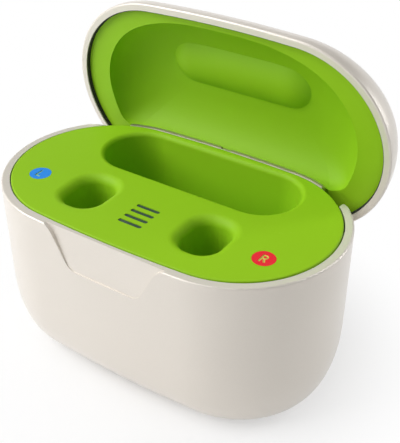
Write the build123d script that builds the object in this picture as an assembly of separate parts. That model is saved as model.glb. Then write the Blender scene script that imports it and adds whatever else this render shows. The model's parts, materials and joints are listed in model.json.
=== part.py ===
from build123d import *
import math
import os

# Charging case for a pair of in-the-ear hearing aids, lid standing open.
# Millimetres, +Z up, X along the long side, the lid opens towards +Y.
# The origin is the centre of the underside, on the surface the case stands on.

# Overall size
case_length = 85.0
case_depth = 50.5
side_bow = 0.56
rim_height = 42.0
half_length = case_length / 2
half_depth = case_depth / 2

# Fits shared by many pieces
fit_gap = 0.15
seat_gap = 0.05
sweep_gap = 0.35
tiny = 0.01
far = 200.0

# Base shell
shell_wall = 1.95
floor_thick = 2.2
base_round_along = 6.0
base_round_across = 8.0
base_round_height = 16.5
inner_round_less = 1.0
rim_edge = 0.45
step_thick = 1.6
step_width = 0.8
step_back = 9.0

# Rubber foot
foot_proud = 0.5
foot_sunk = 0.5
foot_inset = 12.0
foot_gap = 0.1
foot_edge = 0.3

# Thumb scoop in the front wall
scoop_half_top = 14.6
scoop_half_bottom = 9.2
scoop_depth_down = 9.7
scoop_flare_rise = 0.4
scoop_flare_round = 5.0
scoop_corner_round = 3.0
scoop_run_out = 6.0
scoop_deep = 1.25
scoop_shallow = 0.3

# Hinge
hinge_back_margin = 9.35
hinge_drop = 6.9
hinge_pin_radius = 1.0
hinge_pin_clearance = 0.05
hinge_pin_bite = 1.3
ear_end_margin = 9.0
ear_width = 4.2
ear_side_gap = 0.35
ear_inset = 0.1
ear_neck_thick = 1.4
ear_neck_rise = 1.0
lug_thick = 1.0
lug_front = 1.7
lug_back_margin = 0.8
lug_rise = 4.6
lug_drop = 5.5
knuckle_radius = 4.9
knuckle_gap = 0.35
slot_front = 4.0
slot_relief = 0.4
cover_side_gap = 2.0
cover_height = 15.9
cover_thick = 1.8
cover_edge = 0.4
cover_backing = 3.0
notch_width = 3.0
notch_depth = 0.5

# Lid shell
lid_height = 12.6
lid_round_along = 8.6
lid_round_across = 19.5
lid_wall = 1.7
lid_gap = 0.15
lid_open_angle = 83.5

# Lid seal and liner
seal_width = 0.24
seal_recess = 0.3
seal_thick = 1.4
liner_recess = 1.2
liner_thick = 1.1
bowl_deep = 8.0
bowl_end_margin = 8.3
bowl_front_margin = 3.75
bowl_back_margin = 13.25
bowl_round_along = 16.0
bowl_round_front = 14.0
bowl_round_back = 13.0
pad_half_length = 19.0
pad_half_width = 5.9
pad_front_margin = 17.8
pad_proud = 2.3

# Deck insert
deck_thick = 1.5
deck_proud = 0.2
deck_gap = 0.3
deck_edge = 0.35
tub_wall = 1.0
tub_under_deck = 1.0
compartment_end_margin = 16.7
compartment_back_margin = 4.55
compartment_round = 1.2
compartment_floor_round = 3.0
compartment_floor_lift = 6.6
well_divider = 6.0
well_x = 15.6
well_front_margin = 9.75
well_width = 9.4
well_depth_across = 12.2
well_corner = 4.2
well_round = 2.2
well_floor_round = 2.5
well_floor_lift = 7.1

# Side marks
mark_end_margin = 12.6
mark_behind_well = -0.6
mark_radius = 2.55
mark_thick = 0.5
mark_gap = 0.03
letter_height = 2.6
letter_stroke = 0.5
letter_deep = 0.2

# Indicator bars and the small board under them
bar_count = 4
bar_length = 6.0
bar_width = 0.95
bar_pitch = 2.2
bar_behind_well = -2.2
bar_sink = 0.15
bar_gap = 0.04
light_plate_thick = 0.8
light_plate_margin = 0.6
light_gap = 0.05
light_board_thick = 0.8
light_board_margin = 0.4
led_length = 1.6
led_width = 0.8
led_thick = 0.6
peg_x = 6.0
peg_radius = 0.7
peg_fit = 0.03
peg_margin = 1.6

# Ribbon from the small board to the main board
flex_y = -2.6
flex_wide = 5.0
flex_thick = 0.2
flex_run = 5.0
flex_bend = 1.5
flex_socket_margin = 0.8
flex_socket_depth = 2.2
flex_socket_height = 1.2

# Main board and what stands on it
board_end_margin = 16.5
board_front_margin = 8.25
board_back_margin = 4.75
board_corner = 3.0
board_thick = 1.0
board_z = 13.6
chip_row_y = 5.0
chip_pitch = 7.0
charger_side = 6.0
controller_side = 4.0
chip_height = 0.9
coil_length = 4.0
coil_width = 3.0
coil_height = 1.1

# Cell, its tape, leads and plug
cell_length = 44.0
cell_depth = 27.0
cell_thick = 6.4
cell_y = -1.0
cell_edge = 1.2
cell_pad_thick = 0.5
cell_pad_inset = 3.0
lead_radius = 0.45
lead_spacing = 1.8
lead_out = 1.3
lead_drop = 1.6
lead_bend = 1.0
plug_length = 4.2
plug_width = 4.8
plug_height = 2.4
plug_inset = 0.8

# Tray and its screws
tray_thick = 1.2
tray_end_margin = 10.0
tray_side_margin = 9.25
tray_corner = 5.0
tray_lead_gap = 0.45
screw_end_margin = 12.9
screw_side_margin = 14.25
screw_radius = 1.0
screw_undersize = 0.08
screw_bite = 5.5
screw_head_radius = 1.9
screw_head_thick = 0.9
screw_slot_width = 0.5
screw_slot_deep = 0.4
screw_slot_turn = 30.0
post_radius = 2.3
post_root = 0.8

# Charging port
port_width = 8.9
port_height = 3.2
port_depth = 7.4
port_recess = 1.3
port_wall = 0.35
port_back_wall = 1.2
port_corner_less = 0.05
tongue_width = 6.7
tongue_thick = 0.7
tongue_recess = 0.8

# Pairing button and its switch
button_x = 15.0
button_radius = 2.6
button_travel = 0.5
button_proud = 0.6
button_gap = 0.2
button_edge = 0.5
flange_thick = 0.8
flange_margin = 0.8
flange_gap = 0.45
switch_side = 4.4
switch_deep = 3.0
switch_height = 3.2
nub_radius = 0.9
nub_length = 1.2
nub_gap = 0.1

# Charging contacts in each well
contact_pitch = 4.0
contact_radius = 0.6
contact_head = 0.9
contact_head_thick = 1.2
contact_tip_round = 0.48
contact_proud = 1.4
contact_gap = 0.05
carrier_margin_along = 1.1
carrier_margin_across = 1.3
spring_seat = 0.9
spring_wire = 0.14
spring_gap = 0.05
spring_turns = 5

# Magnets
magnet_end_margin = 5.6
magnet_y = 0.5
magnet_radius = 1.7
magnet_thick = 1.6
magnet_wall = 0.55

# Heights worked out from the sizes above
deck_inset = shell_wall + deck_gap
deck_top = rim_height + deck_proud
deck_under = deck_top - deck_thick
lid_rim_z = rim_height + lid_gap
lid_round_height = lid_height - lid_gap
liner_under = lid_rim_z + liner_recess
lid_magnet_z = liner_under + liner_thick
hinge_z = rim_height - hinge_drop
cover_low = rim_height - cover_height
floor_z = foot_proud + floor_thick
round_top = foot_proud + base_round_height
cell_under = floor_z + cell_pad_thick
tray_under = board_z - tray_thick
board_top = board_z + board_thick
port_z = board_top + port_height / 2
well_floor = board_top + well_floor_lift
compartment_floor = board_top + compartment_floor_lift
light_board_top = deck_under - light_plate_thick - led_thick - light_gap
light_board_low = light_board_top - light_board_thick
base_magnet_z = deck_under - magnet_thick
contact_head_top = well_floor - tub_wall - contact_gap

# Places worked out from the sizes above
hinge_back = half_depth - hinge_back_margin
ear_outer_x = half_length - ear_end_margin
ear_inner_x = ear_outer_x - ear_width
slot_inner_x = ear_inner_x - ear_side_gap
slot_outer_x = ear_outer_x + ear_side_gap
cover_half_length = ear_inner_x - cover_side_gap
well_y = well_front_margin - half_depth + well_depth_across / 2
compartment_front = well_y + well_depth_across / 2 + well_divider
compartment_back = half_depth - compartment_back_margin
compartment_half_length = half_length - compartment_end_margin
bar_y = well_y + bar_behind_well
mark_x = half_length - mark_end_margin
mark_y = well_y + mark_behind_well
magnet_x = half_length - magnet_end_margin
board_half_length = half_length - board_end_margin
board_front = board_front_margin - half_depth
board_back = half_depth - board_back_margin
tray_half_length = half_length - tray_end_margin
tray_half_depth = half_depth - tray_side_margin
screw_x = half_length - screw_end_margin
screw_y = half_depth - screw_side_margin
screw_spots = [(x, y) for x in (-screw_x, screw_x) for y in (-screw_y, screw_y)]
port_back = half_depth - port_recess
pad_y = pad_front_margin - half_depth


def oval(length, depth, z=0.0, shift_y=0.0):
    """Long oval face: two round ends joined by long bowed sides."""
    hl = length / 2
    hd = depth / 2
    end_r = hd - side_bow
    side_r = ((hl - end_r) ** 2 + hd**2 - end_r**2) / (2 * (hd - end_r))
    end_x = hl - end_r
    side_y = hd - side_r
    lean = math.atan2(-side_y, end_x)
    tx = end_x + end_r * math.cos(lean)
    ty = end_r * math.sin(lean)
    p = [Vector(tx, ty + shift_y, z), Vector(-tx, ty + shift_y, z)]
    q = [Vector(-tx, shift_y - ty, z), Vector(tx, shift_y - ty, z)]
    back = ThreePointArc(p[0], Vector(0, hd + shift_y, z), p[1])
    left = ThreePointArc(p[1], Vector(-hl, shift_y, z), q[0])
    front = ThreePointArc(q[0], Vector(0, shift_y - hd, z), q[1])
    right = ThreePointArc(q[1], Vector(hl, shift_y, z), p[0])
    return make_face([back, left, front, right])


def outline_y(x, inset=0.0):
    """How far back the oval reaches at a given x."""
    hd = half_depth
    end_r = hd - side_bow
    end_x = half_length - end_r
    side_r = (end_x**2 + hd**2 - end_r**2) / (2 * side_bow)
    change_x = end_x * side_r / (side_r - end_r)
    if abs(x) <= change_x:
        return hd - side_r + math.sqrt((side_r - inset) ** 2 - x**2)
    return math.sqrt((end_r - inset) ** 2 - (abs(x) - end_x) ** 2)


def slab(inset, z0, z1):
    """The oval with its edge moved in, as a plate from z0 to z1."""
    return extrude(oval(case_length - 2 * inset, case_depth - 2 * inset, z0), z1 - z0, dir=(0, 0, 1))


def dome(inset, z0, height, round_along, round_across, up=1):
    """Rounded end of a shell, an oval that closes in as it goes up or down."""
    faces = []
    for angle in (0, 5, 15, 28, 42, 55, 67, 78, 90):
        a = math.radians(angle)
        draw_in = 1 - math.cos(a)
        length = case_length - 2 * inset - 2 * round_along * draw_in
        depth = case_depth - 2 * inset - 2 * round_across * draw_in
        faces.append(oval(length, depth, z0 + up * height * math.sin(a)))
    return loft(faces)


def across(side, near, away):
    """Two distances from the middle, put in order along X on one side."""
    return min(side * near, side * away), max(side * near, side * away)


def block(x0, x1, y0, y1, z0, z1):
    """Plain box between two corners."""
    return Pos((x0 + x1) / 2, (y0 + y1) / 2, (z0 + z1) / 2) * Box(x1 - x0, y1 - y0, z1 - z0)


def rod_x(radius, x0, x1, y, z):
    """Round bar along X."""
    return Pos((x0 + x1) / 2, y, z) * Rot(0, 90, 0) * Cylinder(radius, x1 - x0)


def rod_z(radius, x, y, z0, z1):
    """Round bar along Z."""
    return Pos(x, y, (z0 + z1) / 2) * Cylinder(radius, z1 - z0)


def barrel(margin, half):
    """Solid of revolution about the hinge axis, just inside the case outline."""
    points = []
    for share in (-1, -0.85, -0.7, -0.45, -0.2, 0, 0.2, 0.45, 0.7, 0.85, 1):
        x = share * half
        reach = outline_y(x) - hinge_back
        points.append((x, math.hypot(reach, hinge_drop) - margin))
    top = Spline([Vector(x, hinge_back + r, hinge_z) for x, r in points])
    x0, r0 = points[0]
    x1, r1 = points[-1]
    ends = [
        Line(Vector(x1, hinge_back + r1, hinge_z), Vector(x1, hinge_back, hinge_z)),
        Line(Vector(x1, hinge_back, hinge_z), Vector(x0, hinge_back, hinge_z)),
        Line(Vector(x0, hinge_back, hinge_z), Vector(x0, hinge_back + r0, hinge_z)),
    ]
    axis = Axis((0, hinge_back, hinge_z), (1, 0, 0))
    return revolve(make_face([top] + ends), axis, 360)


def opened(part):
    """Turn a lid piece from shut to open about the hinge pins."""
    turned = Pos(0, hinge_back, hinge_z) * Rot(-lid_open_angle, 0, 0) * Pos(0, -hinge_back, -hinge_z)
    return turned * part


def save(part, name):
    """Write one named piece."""
    export_step(part, "parts/" + name + ".step")


def thumb_scoop():
    """Shallow pocket in the front wall, deepest at the rim."""
    top = rim_height + scoop_flare_rise
    low = rim_height - scoop_depth_down
    end = scoop_half_top + scoop_run_out
    corners = [(-end, top), (-scoop_half_top, top), (-scoop_half_bottom, low),
               (scoop_half_bottom, low), (scoop_half_top, top), (end, top)]
    rounds = [scoop_flare_round, scoop_corner_round, scoop_corner_round, scoop_flare_round]
    edge = FilletPolyline([Vector(x, 0, z) for x, z in corners], radius=rounds)
    over = Polyline(Vector(end, 0, top), Vector(end, 0, top + 1), Vector(-end, 0, top + 1),
                    Vector(-end, 0, top))
    prism = extrude(make_face([edge, over]), case_depth, dir=(0, -1, 0))
    lean = -math.degrees(math.atan2(scoop_deep - scoop_shallow, scoop_depth_down))
    keep_out = Pos(0, -half_depth + scoop_deep, rim_height) * Rot(lean, 0, 0) * Pos(0, far / 2, 0)
    return prism - keep_out * Box(far, far, far)


def hinge_slots():
    """Room in the back wall for the two lid ears to swing."""
    low = hinge_z - knuckle_radius - knuckle_gap - slot_relief
    room = Part()
    for side in (-1, 1):
        x0, x1 = across(side, slot_inner_x, slot_outer_x)
        room += block(x0, x1, hinge_back - slot_front, far / 2, low, far)
    return room


def cover_backing_block():
    """Thicker back wall that the hinge cover is set into."""
    return block(-slot_inner_x, slot_inner_x, compartment_back + tub_wall + fit_gap, far / 2,
                 cover_low - cover_backing, deck_under - fit_gap)


def base_cavity():
    """Inside of the base shell, from the floor to above the rim."""
    cavity = slab(shell_wall, round_top, rim_height + 1)
    cavity += dome(shell_wall, round_top, base_round_height - floor_thick, base_round_along,
                   base_round_across - inner_round_less, up=-1)
    return cavity


def hinge_lug(side):
    """Wall that holds the inner end of one hinge pin."""
    x0, x1 = across(side, slot_inner_x - lug_thick, slot_inner_x)
    return block(x0, x1, hinge_back - lug_front, outline_y(slot_inner_x) - lug_back_margin,
                 hinge_z - lug_drop, hinge_z + lug_rise)


def lid_path_at_ends():
    """Room that the open lid sweeps over the back wall, outside the hinge cover."""
    swing = rod_x(hinge_drop - sweep_gap, -half_length, half_length, hinge_back, hinge_z)
    above = block(-far, far, hinge_back, far, hinge_z, far)
    ends = above - block(-cover_half_length, cover_half_length, 0, far, 0, far)
    return ends - swing


def cover_seat():
    """Recess in the back wall that the hinge cover is set into."""
    reach = cover_half_length + fit_gap
    seat = slab(-1, cover_low - fit_gap, rim_height + 1)
    seat -= slab(cover_thick + seat_gap, cover_low - 1, rim_height + 2)
    return seat & block(-reach, reach, 0, far, 0, far)


def deck_step():
    """Ledge inside the rim that the deck insert rests on."""
    step = slab(shell_wall - tiny, deck_under - step_thick, deck_under)
    step -= slab(shell_wall + step_width, deck_under - step_thick - 1, deck_under + 1)
    return step & block(-far, far, -far, step_back, 0, far)


def screw_post(x, y):
    """Hollow post for one tray screw."""
    post = rod_z(post_radius, x, y, floor_z - post_root, tray_under)
    return post - rod_z(screw_radius - screw_undersize, x, y, tray_under - screw_bite - 1, far)


def base_shell():
    """Outer tub of the base, open at the top."""
    outer = slab(0, round_top, rim_height)
    outer += dome(0, round_top, base_round_height, base_round_along, base_round_across, up=-1)
    outer = fillet(outer.edges().group_by(Axis.Z)[-1], rim_edge)
    shell = outer - (base_cavity() - cover_backing_block())
    for side in (-1, 1):
        shell += hinge_lug(side)
    shell -= lid_path_at_ends()
    shell -= hinge_slots()
    shell -= cover_seat()
    for side in (-1, 1):
        x0, x1 = across(side, slot_inner_x - lug_thick - 1, slot_outer_x + hinge_pin_bite)
        shell -= rod_x(hinge_pin_radius + tiny, x0, x1, hinge_back, hinge_z)
    shell -= thumb_scoop()
    shell += deck_step()
    for x, y in screw_spots:
        shell += screw_post(x, y)
    shell -= port_box(fit_gap, far)
    hole = Rot(90, 0, 0) * Cylinder(button_radius + button_gap, far)
    shell -= Pos(button_x, far / 2, port_z) * hole
    shell -= extrude(foot_face(foot_gap), foot_proud + foot_sunk, dir=(0, 0, 1))
    return shell


def port_box(grow, reach):
    """Rounded slot that the charging port looks out of."""
    shape = RectangleRounded(port_width + 2 * grow, port_height + 2 * grow,
                             port_height / 2 - port_corner_less + grow)
    return Pos(0, port_back - port_depth, port_z) * Rot(-90, 0, 0) * extrude(shape, reach)


def foot_face(grow):
    """Outline of the rubber foot under the base."""
    margin = foot_inset - grow
    return oval(case_length - 2 * margin, case_depth - 2 * margin, 0)


def mark_recess(side):
    """Place of a round side mark in the deck."""
    return rod_z(mark_radius, side * mark_x, mark_y, deck_top - mark_thick, deck_top)


def letter_l():
    """Plain capital L, centred."""
    h = letter_height
    s = letter_stroke
    width = 0.56 * h
    stem = Pos(-width / 2 + s / 2, 0) * Rectangle(s, h)
    foot = Pos(0, -h / 2 + s / 2) * Rectangle(width, s)
    return stem + foot


def letter_r():
    """Plain capital R, centred."""
    h = letter_height
    s = letter_stroke
    width = 0.6 * h
    bowl_r = 0.29 * h
    stem = Pos(-width / 2 + s / 2, 0) * Rectangle(s, h)
    bowl = Pos(0, h / 2 - bowl_r) * (Circle(bowl_r) - Circle(bowl_r - s))
    bowl &= Pos(far / 2, 0) * Rectangle(far, far)
    arm_x = -width / 2 + s / 2
    arms = Pos(arm_x / 2, h / 2 - s / 2) * Rectangle(-arm_x + tiny, s)
    arms += Pos(arm_x / 2, h / 2 - 2 * bowl_r + s / 2) * Rectangle(-arm_x + tiny, s)
    leg = Pos(0.12 * h, -h / 4 + 0.04 * h) * Rot(0, 0, 27) * Rectangle(s, 0.58 * h)
    leg &= Pos(0, -h / 2 + far / 2) * Rectangle(far, far)
    return stem + bowl + arms + leg


def side_mark(side, letter):
    """Coloured disc let into the deck, with its letter sunk in."""
    disc = rod_z(mark_radius - mark_gap, side * mark_x, mark_y, deck_top - mark_thick + tiny, deck_top)
    cut = extrude(Pos(side * mark_x, mark_y, deck_top - letter_deep) * letter, mark_thick)
    return disc - cut


def compartment_face(grow, z):
    """Long rounded outline of the rear compartment."""
    length = 2 * (compartment_half_length + grow)
    depth = compartment_back - compartment_front + 2 * grow
    mid = (compartment_back + compartment_front) / 2
    return Pos(0, mid, z) * SlotOverall(length, depth)


def well_face(side, grow, z):
    """Rounded square outline of a hearing aid well."""
    shape = RectangleRounded(well_width + 2 * grow, well_depth_across + 2 * grow, well_corner + grow)
    return Pos(side * well_x, well_y, z) * shape


def bar_places():
    """Y of each indicator bar."""
    first = bar_y - bar_pitch * (bar_count - 1) / 2
    return [first + i * bar_pitch for i in range(bar_count)]


def contact_spots(side):
    """Middles of the two charging contacts in one well."""
    return [(side * well_x - contact_pitch / 2, well_y), (side * well_x + contact_pitch / 2, well_y)]


def magnet_cup(side, wall_low, wall_high, bottom):
    """Ring that holds a magnet, open at the top unless its bottom is raised."""
    pocket = magnet_radius + fit_gap / 2
    cup = rod_z(pocket + magnet_wall, side * magnet_x, magnet_y, wall_low, wall_high)
    return cup - rod_z(pocket, side * magnet_x, magnet_y, bottom, bottom + magnet_thick)


def mouth_edges(part, x, y, reach_x, reach_y):
    """Edges of the deck's top around one opening."""
    top = part.edges().filter_by_position(Axis.Z, deck_top - 2 * tiny, deck_top + 2 * tiny)
    return [e for e in top if abs(e.center().X - x) < reach_x and abs(e.center().Y - y) < reach_y]


def deck_insert():
    """Moulded deck with the compartment and the two wells hanging from it."""
    tub_top = deck_top - tub_under_deck
    deck = slab(deck_inset, deck_under, deck_top)
    deck = fillet(deck.edges().group_by(Axis.Z)[-1], deck_edge)
    low = compartment_floor - tub_wall
    deck += extrude(compartment_face(tub_wall, low), tub_top - low)
    low = well_floor - tub_wall
    for side in (-1, 1):
        deck += extrude(well_face(side, tub_wall, low), tub_top - low)
        deck += magnet_cup(side, base_magnet_z, deck_under + tiny, base_magnet_z)
        deck += rod_z(peg_radius, side * peg_x, bar_y, light_board_low, deck_under + tiny)
        deck -= mark_recess(side)
    void = extrude(compartment_face(0, compartment_floor), deck_top - compartment_floor + 1)
    deck -= fillet(void.edges().group_by(Axis.Z)[0], compartment_floor_round)
    for side in (-1, 1):
        void = extrude(well_face(side, 0, well_floor), deck_top - well_floor + 1)
        deck -= fillet(void.edges().group_by(Axis.Z)[0], well_floor_round)
        for x, y in contact_spots(side):
            deck -= rod_z(contact_radius + contact_gap, x, y, well_floor - tub_wall - 1, well_floor + 1)
    mid_y = (compartment_front + compartment_back) / 2
    mouth = mouth_edges(deck, 0, mid_y, compartment_half_length + 1, compartment_back - mid_y + 0.5)
    deck = fillet(mouth, compartment_round)
    for side in (-1, 1):
        rim = mouth_edges(deck, side * well_x, well_y, well_width / 2 + 0.1, well_depth_across / 2 + 0.1)
        deck = fillet(rim, well_round)
    for y in bar_places():
        slot = Pos(0, y, deck_under - 1) * SlotOverall(bar_length + 2 * bar_gap, bar_width + 2 * bar_gap)
        deck -= extrude(slot, deck_thick + 2)
    return deck


def indicator_light_pipe():
    """Four bars that show through the deck, joined by a plate under it."""
    half_x = bar_length / 2 + light_plate_margin
    half_y = bar_pitch * bar_count / 2
    pipe = block(-half_x, half_x, bar_y - half_y, bar_y + half_y,
                 deck_under - light_plate_thick, deck_under - tiny)
    for y in bar_places():
        bar = Pos(0, y, deck_under - 2 * tiny) * SlotOverall(bar_length, bar_width)
        pipe += extrude(bar, deck_thick + 2 * tiny - bar_sink)
    return pipe


def indicator_board():
    """Small board under the bars, held on two pegs of the deck."""
    half_x = peg_x + peg_margin
    half_y = bar_pitch * bar_count / 2 + light_board_margin
    board = block(-half_x, half_x, bar_y - half_y, bar_y + half_y, light_board_low, light_board_top)
    for side in (-1, 1):
        board -= rod_z(peg_radius + peg_fit, side * peg_x, bar_y, 0, far)
    return board


def indicator_leds():
    """One lamp under each bar."""
    lamps = []
    for y in bar_places():
        lamps.append(block(-led_length / 2, led_length / 2, y - led_width / 2, y + led_width / 2,
                           light_board_top, light_board_top + led_thick))
    return Compound(lamps)


def indicator_flex():
    """Flat ribbon from the small board down to the main board."""
    z = light_board_low - flex_thick / 2
    start = Vector(0, flex_y - flex_run, z)
    end = Vector(0, flex_y, board_top + flex_socket_height)
    path = FilletPolyline([start, Vector(0, flex_y, z), end], radius=flex_bend)
    section = Plane(origin=start, x_dir=(1, 0, 0), z_dir=(0, 1, 0)) * Rectangle(flex_wide, flex_thick)
    return sweep(section, path)


def main_board():
    """Charging board above the cell."""
    depth = board_back - board_front
    shape = RectangleRounded(2 * board_half_length, depth, board_corner)
    return extrude(Pos(0, (board_front + board_back) / 2, board_z) * shape, board_thick)


def chip(place, length, width, height):
    """One part soldered on the board, by its place in the row."""
    x = place * chip_pitch
    return block(x - length / 2, x + length / 2, chip_row_y - width / 2, chip_row_y + width / 2,
                 board_top, board_top + height)


def board_chips():
    """Charger, controller and two coils in a row on the board."""
    return Compound([
        chip(-1, charger_side, charger_side, chip_height),
        chip(0, controller_side, controller_side, chip_height),
        chip(1, coil_length, coil_width, coil_height),
        chip(2, coil_length, coil_width, coil_height),
    ])


def flex_connector():
    """Low socket that the ribbon plugs into."""
    half_x = flex_wide / 2 + flex_socket_margin
    half_y = flex_socket_depth / 2
    return block(-half_x, half_x, flex_y - half_y, flex_y + half_y,
                 board_top, board_top + flex_socket_height)


def cell_connector():
    """Two-way plug and socket for the cell leads."""
    outer = board_half_length - plug_inset
    return block(outer - plug_length, outer, cell_y - plug_width / 2, cell_y + plug_width / 2,
                 board_top, board_top + plug_height)


def cell_lead(offset):
    """One insulated wire from the cell to its plug."""
    cell_z = cell_under + cell_thick - lead_drop
    plug_z = board_top + plug_height / 2
    y = cell_y + offset
    out_x = board_half_length + lead_out
    points = [(cell_length / 2, cell_z), (out_x, cell_z), (out_x, plug_z),
              (board_half_length - plug_inset, plug_z)]
    path = FilletPolyline([Vector(x, y, z) for x, z in points], radius=lead_bend)
    section = Plane(origin=path @ 0, z_dir=path % 0) * Circle(lead_radius)
    return sweep(section, path)


def cell_leads():
    """The pair of wires."""
    return Compound([cell_lead(-lead_spacing / 2), cell_lead(lead_spacing / 2)])


def battery_cell():
    """Flat rechargeable cell in its foil pouch."""
    x = cell_length / 2
    y = cell_depth / 2
    cell = block(-x, x, cell_y - y, cell_y + y, cell_under, cell_under + cell_thick)
    return fillet(cell.edges().filter_by(Axis.Z), cell_edge)


def cell_pad():
    """Foam tape that holds the cell to the floor."""
    x = cell_length / 2 - cell_pad_inset
    y = cell_depth / 2 - cell_pad_inset
    return block(-x, x, cell_y - y, cell_y + y, floor_z, cell_under)


def inner_tray():
    """Plate on four posts that carries the board over the cell."""
    shape = RectangleRounded(2 * tray_half_length, 2 * tray_half_depth, tray_corner)
    tray = extrude(Pos(0, 0, tray_under) * shape, tray_thick)
    lead_side = board_half_length + lead_out - lead_radius - tray_lead_gap
    tray -= block(lead_side, far, cell_y - plug_width / 2, cell_y + plug_width / 2, 0, far)
    for x, y in screw_spots:
        tray -= rod_z(screw_radius + fit_gap, x, y, 0, far)
    return tray


def tray_screw(x, y):
    """Self-tapping screw with a slotted head."""
    top = board_z + screw_head_thick
    screw = rod_z(screw_radius - screw_undersize, x, y, tray_under - screw_bite, board_z + tiny)
    screw += rod_z(screw_head_radius, x, y, board_z, top)
    slot = block(-far, far, -screw_slot_width / 2, screw_slot_width / 2, 0, far)
    return screw - Pos(x, y, top - screw_slot_deep) * Rot(0, 0, screw_slot_turn) * slot


def tray_screws():
    """The four screws."""
    return Compound([tray_screw(x, y) for x, y in screw_spots])


def usb_c_receptacle():
    """Metal shell of the charging port with its tongue."""
    stand = Pos(0, port_back - port_depth, port_z) * Rot(-90, 0, 0)
    corner = port_height / 2 - port_corner_less
    outer = RectangleRounded(port_width, port_height, corner)
    inner = RectangleRounded(port_width - 2 * port_wall, port_height - 2 * port_wall, corner - port_wall)
    shell = extrude(stand * outer, port_depth)
    shell -= extrude(stand * Pos(0, 0, port_back_wall) * inner, port_depth)
    root = port_back_wall - fit_gap
    tongue = stand * Pos(0, 0, root) * Rectangle(tongue_width, tongue_thick)
    return shell + extrude(tongue, port_depth - tongue_recess - root)


def button_seat():
    """Y of the pairing button's flange, just inside the back wall."""
    return outline_y(button_x, shell_wall) - flange_gap


def pairing_button():
    """Small round button with a flange behind the wall."""
    face_y = outline_y(button_x) + button_proud
    seat_y = button_seat()
    stand = Pos(button_x, seat_y, port_z) * Rot(-90, 0, 0)
    cap = stand * Pos(0, 0, (face_y - seat_y) / 2) * Cylinder(button_radius, face_y - seat_y)
    cap = fillet(cap.edges().group_by(Axis.Y)[-1], button_edge)
    flange = stand * Pos(0, 0, -flange_thick / 2) * Cylinder(button_radius + flange_margin, flange_thick)
    return cap + flange


def button_switch():
    """Press switch on the board behind the button."""
    nub_end = button_seat() - flange_thick - button_travel - nub_gap
    face_y = nub_end - nub_length
    half = switch_side / 2
    body = block(button_x - half, button_x + half, face_y - switch_deep, face_y,
                 board_top, board_top + switch_height)
    nub = Pos(button_x, nub_end - nub_length / 2, port_z) * Rot(90, 0, 0)
    return body + nub * Cylinder(nub_radius, nub_length)


def contact_carrier(side):
    """Block on the board that guides the two contacts under a well."""
    top = well_floor - tub_wall - fit_gap
    half_x = contact_pitch / 2 + contact_head + carrier_margin_along
    half_y = contact_head + carrier_margin_across
    x = side * well_x
    carrier = block(x - half_x, x + half_x, well_y - half_y, well_y + half_y, board_top, top)
    for x, y in contact_spots(side):
        carrier -= rod_z(contact_head + contact_gap, x, y, board_top + spring_seat, top + 1)
    return carrier


def contact_pin(x, y):
    """Sprung charging contact with a round tip."""
    pin = rod_z(contact_radius, x, y, contact_head_top - tiny, well_floor + contact_proud)
    pin = fillet(pin.edges().group_by(Axis.Z)[-1], contact_tip_round)
    return pin + rod_z(contact_head, x, y, contact_head_top - contact_head_thick, contact_head_top)


def contact_spring(x, y):
    """Coil spring under a contact."""
    low = board_top + spring_seat + spring_wire + tiny
    high = contact_head_top - contact_head_thick - spring_wire - tiny
    radius = contact_head - spring_wire - spring_gap
    path = Helix(pitch=(high - low) / spring_turns, height=high - low, radius=radius)
    section = Plane(origin=path @ 0, z_dir=path % 0) * Circle(spring_wire)
    return Pos(x, y, low) * sweep(section, path, is_frenet=True)


def magnet(side, z):
    """Round magnet."""
    return rod_z(magnet_radius, side * magnet_x, magnet_y, z, z + magnet_thick)


def hinge_cover():
    """Metal strip between the deck and the lid, rounded to the swing of the lid."""
    strip = slab(0, cover_low, deck_top)
    strip -= slab(cover_thick, cover_low - 1, deck_top + 1)
    strip &= block(-cover_half_length, cover_half_length, 0, far, 0, far)
    strip &= barrel(cover_edge + sweep_gap, cover_half_length + 1)
    notch = block(-notch_width / 2, notch_width / 2, 0, far, deck_top - notch_depth, far)
    return strip - notch


def hinge_pin(side):
    """Steel pin through a lid ear."""
    x0, x1 = across(side, slot_inner_x - lug_thick, slot_outer_x + hinge_pin_bite)
    return rod_x(hinge_pin_radius, x0, x1, hinge_back, hinge_z)


def lid_ear(side):
    """Knuckle and neck that join the lid to its pin."""
    xs = [ear_inner_x + ear_width * i / 4 for i in range(5)]
    points = [Vector(side * xs[0], hinge_back, hinge_z)]
    for x in xs:
        reach = min(knuckle_radius, outline_y(x) - hinge_back - ear_inset)
        points.append(Vector(side * x, hinge_back + reach, hinge_z))
    points.append(Vector(side * xs[-1], hinge_back, hinge_z))
    profile = make_face(Polyline(points, close=True))
    ear = revolve(profile, Axis((0, hinge_back, hinge_z), (1, 0, 0)), 360)
    neck = slab(ear_inset, hinge_z, lid_rim_z + ear_neck_rise) - slab(ear_neck_thick, hinge_z - 1, far)
    x0, x1 = across(side, ear_inner_x, ear_outer_x)
    ear += neck & block(x0, x1, hinge_back, far, 0, far)
    return ear - rod_x(hinge_pin_radius + hinge_pin_clearance, x0 - 1, x1 + 1, hinge_back, hinge_z)


def cover_sweep(margin, grow=0.0):
    """Room in the lid for the hinge cover to pass."""
    return barrel(margin, cover_half_length + sweep_gap + grow)


def lid_hollow(skin=0.0):
    """Inside of the lid shell, or of a further skin within it."""
    wall = lid_wall + skin
    less = inner_round_less + skin / 2
    return dome(wall, lid_rim_z - tiny, lid_round_height - wall + tiny, lid_round_along - less,
                lid_round_across - less)


def lid_shell():
    """Domed outer lid with its two hinge ears, drawn shut."""
    shell = dome(0, lid_rim_z, lid_round_height, lid_round_along, lid_round_across)
    shell = fillet(shell.edges().group_by(Axis.Z)[0], rim_edge)
    shell -= lid_hollow()
    shell -= cover_sweep(cover_edge)
    for side in (-1, 1):
        shell += lid_ear(side)
    return shell


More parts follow.
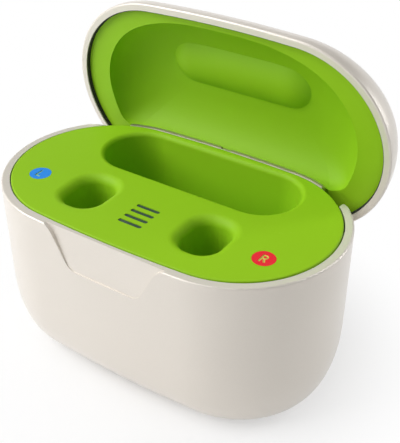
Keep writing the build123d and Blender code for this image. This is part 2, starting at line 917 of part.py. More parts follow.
def bowl_face(grow, z, draw_in):
    """Outline of the hollow in the lid liner, widest a little behind its middle."""
    long = half_length - bowl_end_margin + grow - bowl_round_along * draw_in
    front = bowl_front_margin - half_depth - grow + bowl_round_front * draw_in
    back = half_depth - bowl_back_margin + grow - bowl_round_back * draw_in
    deep = back - front
    points = [
        Vector(0, front, z),
        Vector(0.45 * long, front + 0.035 * deep, z),
        Vector(0.80 * long, front + 0.20 * deep, z),
        Vector(long, front + 0.60 * deep, z),
        Vector(0.955 * long, back - 0.12 * deep, z),
        Vector(0.80 * long, back, z),
    ]
    right = Spline(points, tangents=[(1, 0, 0), (-1, 0.15, 0)])
    left = mirror(right, Plane.YZ)
    return make_face([right, left, Line(points[-1], Vector(-points[-1].X, back, z))])


def bowl(grow, base_z, deep):
    """Dished solid that the liner goes round."""
    faces = []
    for angle in (0, 15, 30, 45, 60, 75, 90):
        a = math.radians(angle)
        faces.append(bowl_face(grow, base_z + deep * math.sin(a), 1 - math.cos(a)))
    return loft(faces)


def pad_solid():
    """Soft-edged pad that stands out of the liner, part of a long round-ended rod."""
    radius = (pad_half_width**2 + pad_proud**2) / (2 * pad_proud)
    middle_z = liner_under + bowl_deep - pad_proud + radius
    reach = pad_half_length - pad_half_width
    arc_mid = radius * math.sqrt(0.5)
    edges = [
        Line(Vector(-reach, 0, radius), Vector(reach, 0, radius)),
        ThreePointArc(Vector(reach, 0, radius), Vector(reach + arc_mid, 0, arc_mid),
                      Vector(reach + radius, 0, 0)),
        Line(Vector(reach + radius, 0, 0), Vector(-reach - radius, 0, 0)),
        ThreePointArc(Vector(-reach - radius, 0, 0), Vector(-reach - arc_mid, 0, arc_mid),
                      Vector(-reach, 0, radius)),
    ]
    return Pos(0, pad_y, middle_z) * revolve(make_face(edges), Axis.X, 360)


def lid_liner():
    """Coloured inner moulding of the lid, drawn shut."""
    liner = slab(lid_wall, liner_under, lid_magnet_z)
    liner += bowl(liner_thick, liner_under, bowl_deep + liner_thick)
    hump = cover_sweep(-cover_edge, liner_thick)
    liner += hump & slab(lid_wall, liner_under, far)
    hollow = bowl(0, liner_under - tiny, bowl_deep + tiny)
    liner -= (hollow & lid_hollow(liner_thick)) - pad_solid()
    liner -= cover_sweep(cover_edge)
    for side in (-1, 1):
        liner += magnet_cup(side, lid_magnet_z - tiny, lid_magnet_z + magnet_thick, lid_magnet_z)
    return liner & lid_hollow(seal_width)


def lid_seal():
    """Dark soft seal on the inside of the lid rim, around the liner."""
    low = lid_rim_z + seal_recess
    seal = (lid_hollow() - lid_hollow(seal_width)) & slab(0, low, low + seal_thick)
    return seal - cover_sweep(-cover_edge, liner_thick)


def rubber_foot():
    """Soft oval foot let into the underside."""
    foot = extrude(foot_face(0), foot_proud + foot_sunk - tiny, dir=(0, 0, 1))
    return fillet(foot.edges().group_by(Axis.Z)[0], foot_edge)


os.makedirs("parts", exist_ok=True)
save(base_shell(), "base_shell")
save(rubber_foot(), "rubber_foot")
save(deck_insert(), "deck_insert")
save(indicator_light_pipe(), "indicator_light_pipe")
save(indicator_board(), "indicator_board")
save(indicator_leds(), "indicator_leds")
save(indicator_flex(), "indicator_flex")
save(side_mark(-1, letter_l()), "left_mark")
save(side_mark(1, letter_r()), "right_mark")
save(main_board(), "main_board")
save(board_chips(), "board_chips")
save(flex_connector(), "flex_connector")
save(cell_connector(), "cell_connector")
save(cell_leads(), "cell_leads")
save(battery_cell(), "battery_cell")
save(cell_pad(), "cell_pad")
save(inner_tray(), "inner_tray")
save(tray_screws(), "tray_screws")
save(usb_c_receptacle(), "usb_c_receptacle")
save(pairing_button(), "pairing_button")
save(button_switch(), "button_switch")
save(hinge_cover(), "hinge_cover")
save(opened(lid_shell()), "lid_shell")
save(opened(lid_liner()), "lid_liner")
save(opened(lid_seal()), "lid_seal")
for side, word in ((-1, "left"), (1, "right")):
    save(contact_carrier(side), word + "_contact_carrier")
    save(magnet(side, base_magnet_z), word + "_base_magnet")
    save(opened(magnet(side, lid_magnet_z)), word + "_lid_magnet")
    save(hinge_pin(side), word + "_hinge_pin")
    for (x, y), place in zip(contact_spots(side), ("a", "b")):
        save(contact_pin(x, y), word + "_contact_pin_" + place)
        save(contact_spring(x, y), word + "_contact_spring_" + place)
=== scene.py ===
import json
import math

import bmesh
import bpy
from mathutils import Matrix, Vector


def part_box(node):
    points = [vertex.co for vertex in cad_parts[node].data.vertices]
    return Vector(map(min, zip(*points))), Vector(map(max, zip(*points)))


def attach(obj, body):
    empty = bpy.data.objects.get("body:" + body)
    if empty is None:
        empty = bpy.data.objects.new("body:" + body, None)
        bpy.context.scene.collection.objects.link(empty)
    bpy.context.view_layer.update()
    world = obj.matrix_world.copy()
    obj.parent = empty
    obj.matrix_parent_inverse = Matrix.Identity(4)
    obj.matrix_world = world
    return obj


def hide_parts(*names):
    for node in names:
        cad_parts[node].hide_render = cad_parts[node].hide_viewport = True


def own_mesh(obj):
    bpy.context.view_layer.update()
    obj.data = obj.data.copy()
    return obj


# Looks of a hearing aid charging case: satin cream shells and green inner mouldings.
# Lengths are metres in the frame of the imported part, and MM turns millimetres into them.
# Inside a finish, texture sizes and bump depths are millimetres.
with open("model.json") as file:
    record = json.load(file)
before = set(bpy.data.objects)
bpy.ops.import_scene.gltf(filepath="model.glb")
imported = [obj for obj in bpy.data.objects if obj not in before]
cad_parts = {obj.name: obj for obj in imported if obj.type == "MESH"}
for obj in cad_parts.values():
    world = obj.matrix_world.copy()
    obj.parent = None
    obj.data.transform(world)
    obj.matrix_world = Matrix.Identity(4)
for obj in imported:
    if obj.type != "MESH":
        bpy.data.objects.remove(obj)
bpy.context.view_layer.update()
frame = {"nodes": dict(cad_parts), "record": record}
MM = 0.001

# Camera, as the photograph was taken
CAMERA_AZIMUTH = 33.589
CAMERA_ELEVATION = 34.228
CAMERA_DISTANCE = 184.25 * MM
CAMERA_TARGET = Vector((7.96, 0.0, 37.19)) * MM
CAMERA_CLIP = 10.0 * MM
FOCAL_PIXELS = 825.42
FRAME_LONG_SIDE = 443
SENSOR = 36.0

# Stage: a round floor with a low wall far off, white past the case's shadow
STAGE_RADIUS = 4.0
STAGE_WALL = 1.3
STAGE_SIDES = 64
STAGE_PAINT = (0.96, 0.96, 0.965)
SHADOW_REACH = 68.0 * MM
WHITE = (1.0, 1.0, 1.0)
WORLD_LEVEL = 0.22
LAMP_TARGET = Vector((0.0, 0.0, 35.0)) * MM

# Gold pads on the tongue of the charging port
PAD_COUNT = 10
PAD_PITCH = 0.5 * MM
PAD_SIZE = (0.28 * MM, 2.6 * MM, 0.05 * MM)
PAD_DEPTH_IN_PORT = 2.4 * MM
TONGUE_HALF = 0.35 * MM

# Small parts in two rows on the main board
RESISTOR_COUNT = 11
RESISTOR_PITCH = 3.2 * MM
RESISTOR_SIZE = (1.0 * MM, 0.5 * MM, 0.4 * MM)
RESISTOR_FRONT_INSET = 2.4 * MM
RESISTOR_BACK_INSET = 8.9 * MM

# Rings round the contacts, which stand proud of a well's floor
CONTACT_PROUD = 1.4 * MM
RING_RADIUS = 0.95 * MM
RING_WIRE = 0.13 * MM
RING_STEPS = 40
RING_WIRE_STEPS = 10
WELD = 0.001 * MM

# Colours
CREAM = (0.82, 0.765, 0.69)
CREAM_SHADE = (0.74, 0.68, 0.60)
GREEN = (0.315, 0.60, 0.010)
GREEN_DEEP = (0.265, 0.535, 0.005)
GREEN_SPECK = (0.40, 0.66, 0.06)
BLUE_INK = (0.016, 0.29, 0.93)
BLUE_LETTER = (0.36, 0.66, 0.40)
RED_INK = (0.93, 0.008, 0.042)
RED_LETTER = (0.72, 0.66, 0.14)
CHAMPAGNE = (0.63, 0.55, 0.50)
SMOKED_GREEN = (0.034, 0.068, 0.052)
SEAL_BLACK = (0.010, 0.010, 0.011)
SEAL_BLOOM = (0.03, 0.03, 0.03)
FOOT_GREY = (0.16, 0.15, 0.14)
FOOT_BLOOM = (0.24, 0.23, 0.22)
FOAM_BLACK = (0.05, 0.05, 0.05)
FOAM_BLOOM = (0.09, 0.09, 0.09)
DUST = (0.45, 0.44, 0.42)
MASK_GREEN = (0.012, 0.105, 0.045)
MASK_DEEP = (0.01, 0.07, 0.03)
TRACK_GREEN = (0.03, 0.20, 0.085)
PLATED_PAD = (0.86, 0.66, 0.30)
FILM_AMBER = (0.52, 0.22, 0.03)
FILM_DEEP = (0.35, 0.13, 0.02)
FILM_COPPER = (0.78, 0.42, 0.16)
LEAD_BLACK = (0.015, 0.015, 0.016)
LEAD_RED = (0.55, 0.025, 0.02)
LEAD_BLOOM = (0.2, 0.2, 0.2)
FOIL_BRIGHT = (0.66, 0.67, 0.69)
FOIL_DULL = (0.46, 0.47, 0.50)
PLASTIC_BLACK = (0.020, 0.020, 0.022)
PLASTIC_NATURAL = (0.78, 0.76, 0.70)
LAMP_WHITE = (0.82, 0.82, 0.76)
TRAY_GREY = (0.085, 0.085, 0.092)
ZINC = (0.62, 0.62, 0.63)
SPRING_STEEL = (0.50, 0.50, 0.51)
PORT_STEEL = (0.56, 0.56, 0.57)
NICKEL = (0.64, 0.62, 0.57)
GOLD = (0.92, 0.66, 0.28)


class Signal:
    """A socket that takes part in Python sums."""

    def __init__(self, owner, socket):
        self.owner = owner
        self.socket = socket

    def maths(self, operation, other=0.0, turned=False):
        """A Math node on this value and another, which comes first where turned."""
        first, second = (other, self) if turned else (self, other)
        return self.owner.node("ShaderNodeMath", {"operation": operation}, {0: first, 1: second})

    def __add__(self, other):
        return self.maths("ADD", other)

    def __radd__(self, other):
        return self.maths("ADD", other)

    def __sub__(self, other):
        return self.maths("SUBTRACT", other)

    def __rsub__(self, other):
        return self.maths("SUBTRACT", other, turned=True)

    def __mul__(self, other):
        return self.maths("MULTIPLY", other)

    def __rmul__(self, other):
        return self.maths("MULTIPLY", other)

    def above(self, level, soft):
        """0 below the level and 1 above it, over a ramp of the given width."""
        ramp = {"From Min": level - soft / 2, "From Max": level + soft / 2}
        return self.owner.node("ShaderNodeMapRange", {"clamp": True}, {"Value": self, **ramp})

    def part(self, name):
        """One coordinate of a vector."""
        return self.owner.node("ShaderNodeSeparateXYZ", {}, {"Vector": self}, out=name)


class Wiring:
    """A node tree, and the one way in which nodes are added to it."""

    def __init__(self, tree):
        self.tree = tree

    def node(self, kind, settings, sockets, out=0):
        """Any node: its settings first, then the values or links of its sockets."""
        made = self.tree.nodes.new(kind)
        for key, value in settings.items():
            setattr(made, key, value)
        for key, value in sockets.items():
            if isinstance(value, Signal):
                self.tree.links.new(value.socket, made.inputs[key])
            else:
                made.inputs[key].default_value = value
        return Signal(self, made.outputs[out]) if made.outputs else None


class Finish(Wiring):
    """A node material, written as a short list of layers."""

    def __init__(self, name):
        self.material = bpy.data.materials.new(name)
        self.material.use_nodes = True
        super().__init__(self.material.node_tree)
        self.tree.nodes.clear()

    def place(self, stretch=(1.0, 1.0, 1.0)):
        """Object coordinates in millimetres, drawn out along an axis where asked."""
        seen = self.node("ShaderNodeTexCoord", {}, {}, out="Object")
        scale = [1.0 / (MM * share) for share in stretch]
        return self.node("ShaderNodeMapping", {}, {"Vector": seen, "Scale": scale})

    def noise(self, size, detail=2.0, stretch=(1.0, 1.0, 1.0), roughness=0.5, distortion=0.0):
        """Soft noise whose features are about size millimetres wide."""
        sockets = {"Vector": self.place(stretch), "Scale": 1.0 / size, "Detail": detail,
                   "Roughness": roughness, "Distortion": distortion}
        return self.node("ShaderNodeTexNoise", {}, sockets, out="Fac")

    def cells(self, size, out="Distance"):
        """Cell noise whose cells are about size millimetres wide."""
        return self.node("ShaderNodeTexVoronoi", {"feature": "F1"},
                         {"Vector": self.place(), "Scale": 1.0 / size}, out=out)

    def mix(self, amount, first, second):
        """Two colours mixed."""
        first = (*first, 1.0) if isinstance(first, tuple) else first
        second = (*second, 1.0) if isinstance(second, tuple) else second
        return self.node("ShaderNodeMix", {"data_type": "RGBA"}, {0: amount, 6: first, 7: second}, out=2)

    def bump(self, *layers):
        """Height layers, each (height, depth in millimetres), stacked into one normal."""
        terms = [height * depth for height, depth in layers]
        sockets = {"Height": sum(terms[1:], terms[0]), "Distance": MM, "Strength": 1.0}
        return self.node("ShaderNodeBump", {}, sockets)

    def surface(self, **sockets):
        """The surface shader and the output; returns the material."""
        names = {key.replace("_", " ").title().replace("Ior", "IOR"): value
                 for key, value in sockets.items()}
        shader = self.node("ShaderNodeBsdfPrincipled", {}, names)
        self.node("ShaderNodeOutputMaterial", {}, {"Surface": shader})
        return self.material


def shaded(colour, share):
    """A colour made darker or lighter by a share, no channel past full."""
    return tuple(min(1.0, channel * share) for channel in colour)


def satin_shell(name, colour, shade):
    """Cream moulding with a pearl lacquer: fine flakes, a slow drift of tone, faint handling marks."""
    f = Finish(name)
    flake_tints = f.cells(size=0.16, out="Color")
    flake = f.node("ShaderNodeSeparateColor", {}, {"Color": flake_tints}, out=0)
    drift = f.noise(size=38.0, detail=3.0)
    marks = f.noise(size=7.0, detail=5.0, stretch=(1.0, 1.0, 2.2), distortion=0.6)
    hairs = f.noise(size=0.35, stretch=(14.0, 1.0, 1.0)).above(0.66, soft=0.06)
    peel = f.noise(size=1.7)
    grain = f.noise(size=0.22)
    tone = f.mix((drift - 0.5) * 0.5 + 0.25, colour, shade)
    tone = f.mix(flake * 0.12, tone, shaded(colour, 1.12))
    rough = 0.27 + marks * 0.07 + hairs * 0.03 + (flake - 0.5) * 0.03
    return f.surface(base_color=tone, roughness=rough, metallic=0.2, coat_weight=0.2,
                     coat_roughness=0.2, normal=f.bump((peel, 0.006), (grain, 0.0012), (flake, 0.0006)))


def moulded_green(name, colour, deep, speck):
    """Matte coloured moulding with a fine spark-eroded grain."""
    f = Finish(name)
    drift = f.noise(size=30.0)
    grain = f.noise(size=0.30, detail=3.0, roughness=0.6)
    pits = f.cells(size=0.42)
    specks = f.noise(size=1.3, detail=4.0).above(0.70, soft=0.05)
    tone = f.mix(drift * 0.30 + grain * 0.12, colour, deep)
    tone = f.mix(specks * 0.10, tone, speck)
    rough = 0.50 + grain * 0.12 + drift * 0.04
    return f.surface(base_color=tone, roughness=rough, specular_ior_level=0.30,
                     normal=f.bump((grain, 0.010), (pits, 0.006)))


def lacquered_metal(name, colour):
    """Pressed strip with a champagne lacquer over lengthwise brushing."""
    f = Finish(name)
    brush = f.noise(size=0.06, detail=3.0, stretch=(60.0, 1.0, 1.0))
    drift = f.noise(size=9.0)
    tone = f.mix(brush * 0.35 + drift * 0.2, colour, shaded(colour, 0.82))
    return f.surface(base_color=tone, roughness=0.24 + brush * 0.12, metallic=0.85,
                     coat_weight=0.3, coat_roughness=0.2, normal=f.bump((brush, 0.0025)))


def soft_rubber(name, colour, bloom, grain_size=0.25):
    """Moulded rubber: dull, fine grained, with a little dust."""
    f = Finish(name)
    grain = f.noise(size=grain_size, detail=3.0)
    film = f.noise(size=3.5, detail=4.0)
    clean = f.cells(size=0.5).above(0.55, soft=0.1)
    tone = f.mix(film * 0.35, colour, bloom)
    tone = f.mix((1.0 - clean) * 0.05, tone, DUST)
    return f.surface(base_color=tone, roughness=0.62 + film * 0.16, specular_ior_level=0.4,
                     normal=f.bump((grain, 0.012)))


def smoked_lens(name, colour):
    """Dark light bar: smooth, with fine diffusing lines."""
    f = Finish(name)
    lines = f.node("ShaderNodeTexWave", {"bands_direction": "X"},
                   {"Vector": f.place(), "Scale": 1.6, "Distortion": 0.2})
    cloud = f.noise(size=1.2)
    tone = f.mix(cloud * 0.5, colour, shaded(colour, 1.5))
    return f.surface(base_color=tone, roughness=0.34 + lines * 0.08, coat_weight=0.2,
                     normal=f.bump((lines, 0.004)))


def printed_mark(name, ink, letter, letter_top):
    """Coloured disc with a paler sunk letter."""
    f = Finish(name)
    grain = f.noise(size=0.3, detail=3.0)
    sunk = 1.0 - f.place().part("Z").above(letter_top, soft=0.04)
    worn_ink = f.mix(grain * 0.22, ink, shaded(ink, 0.72))
    return f.surface(base_color=f.mix(sunk, worn_ink, letter), roughness=0.38 + grain * 0.1,
                     coat_weight=0.1, normal=f.bump((grain, 0.004)))


def moulded_plastic(name, colour, rough=0.45):
    """Plain technical moulding with flow marks and grain."""
    f = Finish(name)
    grain = f.noise(size=0.3, detail=3.0)
    flow = f.noise(size=5.0, detail=3.0, distortion=1.0)
    tone = f.mix(flow * 0.35, colour, shaded(colour, 0.7))
    return f.surface(base_color=tone, roughness=rough + grain * 0.14 + flow * 0.05,
                     normal=f.bump((grain, 0.008)))


def solder_mask(name):
    """Circuit board: green mask over copper tracks, with plated pads."""
    f = Finish(name)
    courses = {"Vector": f.place(), "Scale": 0.32, "Mortar Size": 0.045, "Mortar Smooth": 0.2}
    tracks = f.node("ShaderNodeTexBrick", {"offset": 0.35, "squash": 1.4}, courses, out="Fac")
    weave = f.noise(size=0.5)
    pads = 1.0 - f.cells(size=2.6).above(0.14, soft=0.02)
    mask = f.mix(tracks * 0.7, MASK_GREEN, TRACK_GREEN)
    mask = f.mix(weave * 0.2, mask, MASK_DEEP)
    tone = f.mix(pads, mask, PLATED_PAD)
    return f.surface(base_color=tone, roughness=0.34 - pads * 0.08, metallic=pads * 0.9,
                     normal=f.bump((tracks, 0.02), (weave, 0.004)))


def flex_film(name):
    """Amber ribbon with copper lines."""
    f = Finish(name)
    across = f.place().part("X")
    lines = (across * 9.0).maths("SINE").above(0.0, soft=0.3)
    cloud = f.noise(size=2.0)
    tone = f.mix(lines * 0.6, FILM_AMBER, FILM_COPPER)
    tone = f.mix(cloud * 0.2, tone, FILM_DEEP)
    return f.surface(base_color=tone, roughness=0.30 + cloud * 0.1, metallic=lines * 0.3,
                     normal=f.bump((lines, 0.01)))


def wire_insulation(name, split_y):
    """A red lead behind split_y, in millimetres, and a black one in front of it."""
    f = Finish(name)
    red = f.place().part("Y").above(split_y, soft=0.05)
    grain = f.noise(size=0.4)
    tone = f.mix(red, LEAD_BLACK, LEAD_RED)
    return f.surface(base_color=f.mix(grain * 0.2, tone, LEAD_BLOOM), roughness=0.42 + grain * 0.1,
                     normal=f.bump((grain, 0.006)))


def pouch_foil(name):
    """Dull foil of a pouch cell, softly creased."""
    f = Finish(name)
    crease = f.noise(size=4.0, detail=4.0, distortion=1.5)
    grain = f.noise(size=0.25)
    tone = f.mix(crease * 0.4, FOIL_BRIGHT, FOIL_DULL)
    return f.surface(base_color=tone, roughness=0.32 + grain * 0.14, metallic=0.9,
                     normal=f.bump((crease, 0.10), (grain, 0.004)))


def worked_metal(name, colour, rough=0.28, stretch=(1.0, 1.0, 12.0), dull=0.75):
    """Plated or drawn metal with faint tool lines and tarnish."""
    f = Finish(name)
    lines = f.noise(size=0.08, detail=3.0, stretch=stretch)
    tarnish = f.noise(size=1.6, detail=4.0)
    tone = f.mix(tarnish * 0.45, colour, shaded(colour, dull))
    return f.surface(base_color=tone, roughness=rough + lines * 0.12 + tarnish * 0.05, metallic=1.0,
                     normal=f.bump((lines, 0.003)))


# The sunk letters of both marks begin this far below the marks' tops, in millimetres
LETTER_SINK = 0.1
# Where the black lead of the cell ends and the red one begins, along Y in millimetres
LEAD_SPLIT = -1.0
letter_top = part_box("left_mark")[1].z / MM - LETTER_SINK
finishes = {
    "shell": satin_shell("satin_cream_shell", CREAM, CREAM_SHADE),
    "button": satin_shell("satin_cream_button", CREAM_SHADE, CREAM),
    "inner": moulded_green("moulded_green", GREEN, GREEN_DEEP, GREEN_SPECK),
    "hinge_strip": lacquered_metal("champagne_lacquered_strip", CHAMPAGNE),
    "seal": soft_rubber("black_seal_rubber", SEAL_BLACK, SEAL_BLOOM),
    "foot": soft_rubber("grey_foot_rubber", FOOT_GREY, FOOT_BLOOM, grain_size=0.4),
    "foam": soft_rubber("foam_tape", FOAM_BLACK, FOAM_BLOOM, grain_size=0.6),
    "bars": smoked_lens("smoked_light_bar", SMOKED_GREEN),
    "blue": printed_mark("blue_mark", BLUE_INK, BLUE_LETTER, letter_top),
    "red": printed_mark("red_mark", RED_INK, RED_LETTER, letter_top),
    "board": solder_mask("green_circuit_board"),
    "flex": flex_film("amber_ribbon"),
    "black": moulded_plastic("moulded_black", PLASTIC_BLACK),
    "white": moulded_plastic("moulded_natural_white", PLASTIC_NATURAL, rough=0.40),
    "lamp": moulded_plastic("lamp_package_white", LAMP_WHITE, rough=0.30),
    "tray": moulded_plastic("moulded_dark_grey", TRAY_GREY),
    "foil": pouch_foil("pouch_cell_foil"),
    "wire": wire_insulation("lead_insulation", LEAD_SPLIT),
    "zinc": worked_metal("zinc_plated_steel", ZINC),
    "spring": worked_metal("spring_steel", SPRING_STEEL, rough=0.24, stretch=(6.0, 6.0, 1.0)),
    "port": worked_metal("drawn_steel_shell", PORT_STEEL, rough=0.26, stretch=(1.0, 14.0, 1.0)),
    "nickel": worked_metal("nickel_plated_magnet", NICKEL, rough=0.18),
    "gold": worked_metal("gold_plated_contact", GOLD, rough=0.16, stretch=(1.0, 1.0, 8.0), dull=0.85),
}

finish_of = {
    "base_shell": "shell", "lid_shell": "shell", "pairing_button": "button",
    "deck_insert": "inner", "lid_liner": "inner", "hinge_cover": "hinge_strip",
    "lid_seal": "seal", "rubber_foot": "foot", "indicator_light_pipe": "bars",
    "left_mark": "blue", "right_mark": "red", "main_board": "board", "indicator_board": "board",
    "indicator_flex": "flex", "indicator_leds": "lamp", "board_chips": "black",
    "button_switch": "black", "flex_connector": "white", "cell_connector": "white",
    "cell_leads": "wire", "battery_cell": "foil", "cell_pad": "foam", "inner_tray": "tray",
    "tray_screws": "zinc", "usb_c_receptacle": "port",
}
for side in ("left", "right"):
    finish_of[side + "_contact_carrier"] = "black"
    finish_of[side + "_base_magnet"] = "nickel"
    finish_of[side + "_lid_magnet"] = "nickel"
    finish_of[side + "_hinge_pin"] = "zinc"
    for mark in ("a", "b"):
        finish_of[side + "_contact_pin_" + mark] = "gold"
        finish_of[side + "_contact_spring_" + mark] = "spring"


def dress_frame():
    """Gives every carried-over piece its finish."""
    for name, part in frame["nodes"].items():
        part.data.materials.clear()
        part.data.materials.append(finishes[finish_of[name]])


def added(name, data):
    """A new object in the scene."""
    made = bpy.data.objects.new(name, data)
    bpy.context.scene.collection.objects.link(made)
    return made


class Layout(Wiring):
    """A geometry tree with named sizes, whose result becomes one plain mesh."""

    def __init__(self, name, sizes):
        super().__init__(bpy.data.node_groups.new(name, "GeometryNodeTree"))
        self.name = name
        face = self.tree.interface
        face.new_socket("Geometry", in_out="OUTPUT", socket_type="NodeSocketGeometry")
        kinds = {int: "NodeSocketInt", float: "NodeSocketFloat", tuple: "NodeSocketVector"}
        self.sizes = {}
        for label, value in sizes.items():
            socket = face.new_socket(label, in_out="INPUT", socket_type=kinds[type(value)])
            self.sizes[socket.identifier] = value
        self.given = self.tree.nodes.new("NodeGroupInput")

    def size(self, label):
        """The value of one named size."""
        return Signal(self, self.given.outputs[label])

    def row(self, shape, count, start, step):
        """Copies of a shape, set one step apart."""
        points = self.node("GeometryNodeMeshLine", {"mode": "OFFSET"},
                           {"Count": count, "Start Location": start, "Offset": step})
        return self.node("GeometryNodeInstanceOnPoints", {}, {"Points": points, "Instance": shape})

    def piece(self, shape, finish, slot):
        """Ends the tree and makes its mesh, which rides on the base."""
        real = self.node("GeometryNodeRealizeInstances", {}, {"Geometry": shape})
        dressed = self.node("GeometryNodeSetMaterial", {}, {"Geometry": real, "Material": finishes[finish]})
        self.node("NodeGroupOutput", {}, {"Geometry": dressed})
        blank = added(self.name + "_blank", bpy.data.meshes.new(self.name + "_blank"))
        modifier = blank.modifiers.new("layout", "NODES")
        modifier.node_group = self.tree
        for identifier, value in self.sizes.items():
            modifier[identifier] = value
        seen = blank.evaluated_get(bpy.context.evaluated_depsgraph_get())
        mesh = bpy.data.meshes.new_from_object(seen)
        bpy.data.objects.remove(blank)
        made = added(self.name, mesh)
        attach(made, "base")


def two_block_rows(name, block_size, count, pitch, first, row_step, finish, slot):
    """Two equal rows of small blocks along X."""
    layout = Layout(name, {"Block Size": block_size, "Count": count, "First Place": first,
                           "Step": (pitch, 0.0, 0.0), "Rows": 2, "Row Step": row_step})
    block = layout.node("GeometryNodeMeshCube", {}, {"Size": layout.size("Block Size")})
    line = layout.row(block, layout.size("Count"), layout.size("First Place"), layout.size("Step"))
    both = layout.row(line, layout.size("Rows"), (0.0, 0.0, 0.0), layout.size("Row Step"))
    layout.piece(both, finish, slot)


def port_pads():
    """Gold pads on both faces of the charging port's tongue."""
    low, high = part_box("usb_c_receptacle")
    reach = (PAD_COUNT - 1) / 2 * PAD_PITCH
    first = (-reach, high.y - PAD_DEPTH_IN_PORT, (low.z + high.z) / 2 - TONGUE_HALF)
    two_block_rows("port_pads", PAD_SIZE, PAD_COUNT, PAD_PITCH, first,
                   (0.0, 0.0, 2 * TONGUE_HALF), "gold", "contact_gold")


def board_resistors():
    """Two rows of small parts soldered along the board's front and back."""
    low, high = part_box("main_board")
    reach = (RESISTOR_COUNT - 1) / 2 * RESISTOR_PITCH
    first = (-reach, low.y + RESISTOR_FRONT_INSET, high.z + RESISTOR_SIZE[2] / 2)
    row_gap = high.y - RESISTOR_BACK_INSET - first[1]
    two_block_rows("board_resistors", RESISTOR_SIZE, RESISTOR_COUNT, RESISTOR_PITCH, first,
                   (0.0, row_gap, 0.0), "black", "black_plastic")


def contact_rings(side):
    """Plated rings let into a well's floor round its two contacts."""
    low_a, high_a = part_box(side + "_contact_pin_a")
    low_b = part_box(side + "_contact_pin_b")[0]
    first = ((low_a.x + high_a.x) / 2, (low_a.y + high_a.y) / 2, high_a.z - CONTACT_PROUD)
    layout = Layout(side + "_contact_rings", {
        "Ring Radius": RING_RADIUS, "Wire Radius": RING_WIRE, "Count": 2,
        "First Place": first, "Step": (low_b.x - low_a.x, 0.0, 0.0)})
    circles = []
    for label, steps in (("Ring Radius", RING_STEPS), ("Wire Radius", RING_WIRE_STEPS)):
        sockets = {"Resolution": steps, "Radius": layout.size(label)}
        circles.append(layout.node("GeometryNodeCurvePrimitiveCircle", {"mode": "RADIUS"}, sockets))
    tube = layout.node("GeometryNodeCurveToMesh", {}, {"Curve": circles[0], "Profile Curve": circles[1]})
    soft = layout.node("GeometryNodeSetShadeSmooth", {}, {"Geometry": tube})
    pair = layout.row(soft, layout.size("Count"), layout.size("First Place"), layout.size("Step"))
    layout.piece(pair, "nickel", "magnet_nickel")


def squashed_coil(side, mark):
    """Copy of a contact spring with its doubled points welded, riding on the base in place of the hidden
    original.
    """
    node = side + "_contact_spring_" + mark
    joint = side + "_contact_" + mark + "_press"
    joints = {each["name"]: each for each in frame["record"]["behaviour"]["joints"]}
    travel = joints[joint]["range_m"][1]
    coil = added(node + "_coil", frame["nodes"][node].data.copy())
    shape = bmesh.new()
    shape.from_mesh(coil.data)
    bmesh.ops.remove_doubles(shape, verts=shape.verts, dist=WELD)
    shape.to_mesh(coil.data)
    shape.free()
    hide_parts(node)
    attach(coil, "base")
    low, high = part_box(node)
    1.0 - travel / (high.z - low.z)
    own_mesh(coil)


def aim(holder, target, azimuth, elevation, distance):
    """Sets a camera or lamp at these angles from a target, in degrees, and turns it to face it."""
    a, e = math.radians(azimuth), math.radians(elevation)
    away = Vector((math.sin(a) * math.cos(e), -math.cos(a) * math.cos(e), math.sin(e)))
    holder.location = target + away * distance
    holder.rotation_euler = (-away).to_track_quat("-Z", "Y").to_euler()


def photo_camera():
    """Camera at the photograph's angle and distance."""
    camera = added("photo_camera", bpy.data.cameras.new("photo_camera"))
    camera.data.sensor_width = SENSOR
    camera.data.lens = FOCAL_PIXELS / FRAME_LONG_SIDE * SENSOR
    camera.data.clip_start = CAMERA_CLIP
    aim(camera, CAMERA_TARGET, CAMERA_AZIMUTH, CAMERA_ELEVATION, CAMERA_DISTANCE)
    bpy.context.scene.camera = camera


def softbox(name, azimuth, elevation, distance, width, height, power):
    """Rectangular lamp that faces the middle of the case."""
    lamp = bpy.data.lights.new(name, "AREA")
    lamp.shape = "RECTANGLE"
    lamp.size = width
    lamp.size_y = height
    lamp.energy = power
    aim(added(name, lamp), LAMP_TARGET, azimuth, elevation, distance)


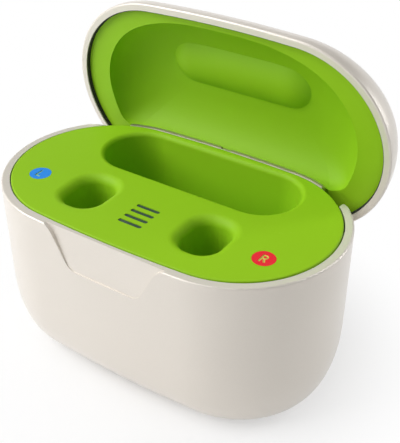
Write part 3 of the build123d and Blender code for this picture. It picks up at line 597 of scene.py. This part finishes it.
def stage_paint():
    """Matt pale paint that the camera, gloss and clear pieces see fade to white."""
    f = Finish("studio_floor")
    spot = f.node("ShaderNodeNewGeometry", {}, {}, out="Position")
    flat = f.node("ShaderNodeVectorMath", {"operation": "MULTIPLY"}, {0: spot, 1: (1.0, 1.0, 0.0)})
    away = f.node("ShaderNodeVectorMath", {"operation": "LENGTH"}, {0: flat}, out="Value")
    ramp = {"Value": away, "From Min": 0.0, "From Max": SHADOW_REACH}
    fade = f.node("ShaderNodeMapRange", {"interpolation_type": "SMOOTHSTEP"}, ramp)
    camera, glossy, clear = [f.node("ShaderNodeLightPath", {}, {}, out=name)
                             for name in ("Is Camera Ray", "Is Glossy Ray", "Is Transmission Ray")]
    seen = (camera + glossy + clear).maths("MINIMUM", 1.0)
    matt = f.node("ShaderNodeBsdfDiffuse", {}, {"Color": (*STAGE_PAINT, 1.0)})
    white = f.node("ShaderNodeEmission", {}, {"Color": (*WHITE, 1.0), "Strength": 1.0})
    both = f.node("ShaderNodeMixShader", {}, {0: fade * seen, 1: matt, 2: white})
    f.node("ShaderNodeOutputMaterial", {}, {"Surface": both})
    return f.material


def stage():
    """Round floor whose edge turns up into a low wall."""
    mesh = bpy.data.meshes.new("studio_floor")
    shape = bmesh.new()
    bmesh.ops.create_circle(shape, cap_ends=True, radius=STAGE_RADIUS, segments=STAGE_SIDES)
    edge = [line for line in shape.edges if line.is_boundary]
    wall = bmesh.ops.extrude_edge_only(shape, edges=edge)["geom"]
    risen = [item for item in wall if isinstance(item, bmesh.types.BMVert)]
    bmesh.ops.translate(shape, verts=risen, vec=(0.0, 0.0, STAGE_WALL))
    shape.to_mesh(mesh)
    shape.free()
    mesh.materials.append(stage_paint())
    added("studio_floor", mesh)


def studio_light():
    """A plain world and three soft lamps; lengths are metres and power is watts."""
    world = bpy.data.worlds.new("studio")
    world.use_nodes = True
    back = world.node_tree.nodes["Background"]
    back.inputs["Color"].default_value = (*WHITE, 1.0)
    back.inputs["Strength"].default_value = WORLD_LEVEL
    bpy.context.scene.world = world
    softbox("key_softbox", azimuth=-50.0, elevation=38.0, distance=0.60, width=0.46, height=0.46, power=3.15)
    softbox("top_softbox", azimuth=-40.0, elevation=80.0, distance=0.60, width=0.50, height=0.40, power=0.75)
    softbox("rim_softbox", azimuth=140.0, elevation=20.0, distance=0.55, width=0.10, height=0.50, power=0.8)


dress_frame()
port_pads()
board_resistors()
for side in ("left", "right"):
    contact_rings(side)
    for mark in ("a", "b"):
        squashed_coil(side, mark)
photo_camera()
stage()
studio_light()
bpy.context.scene.view_settings.view_transform = "Standard"
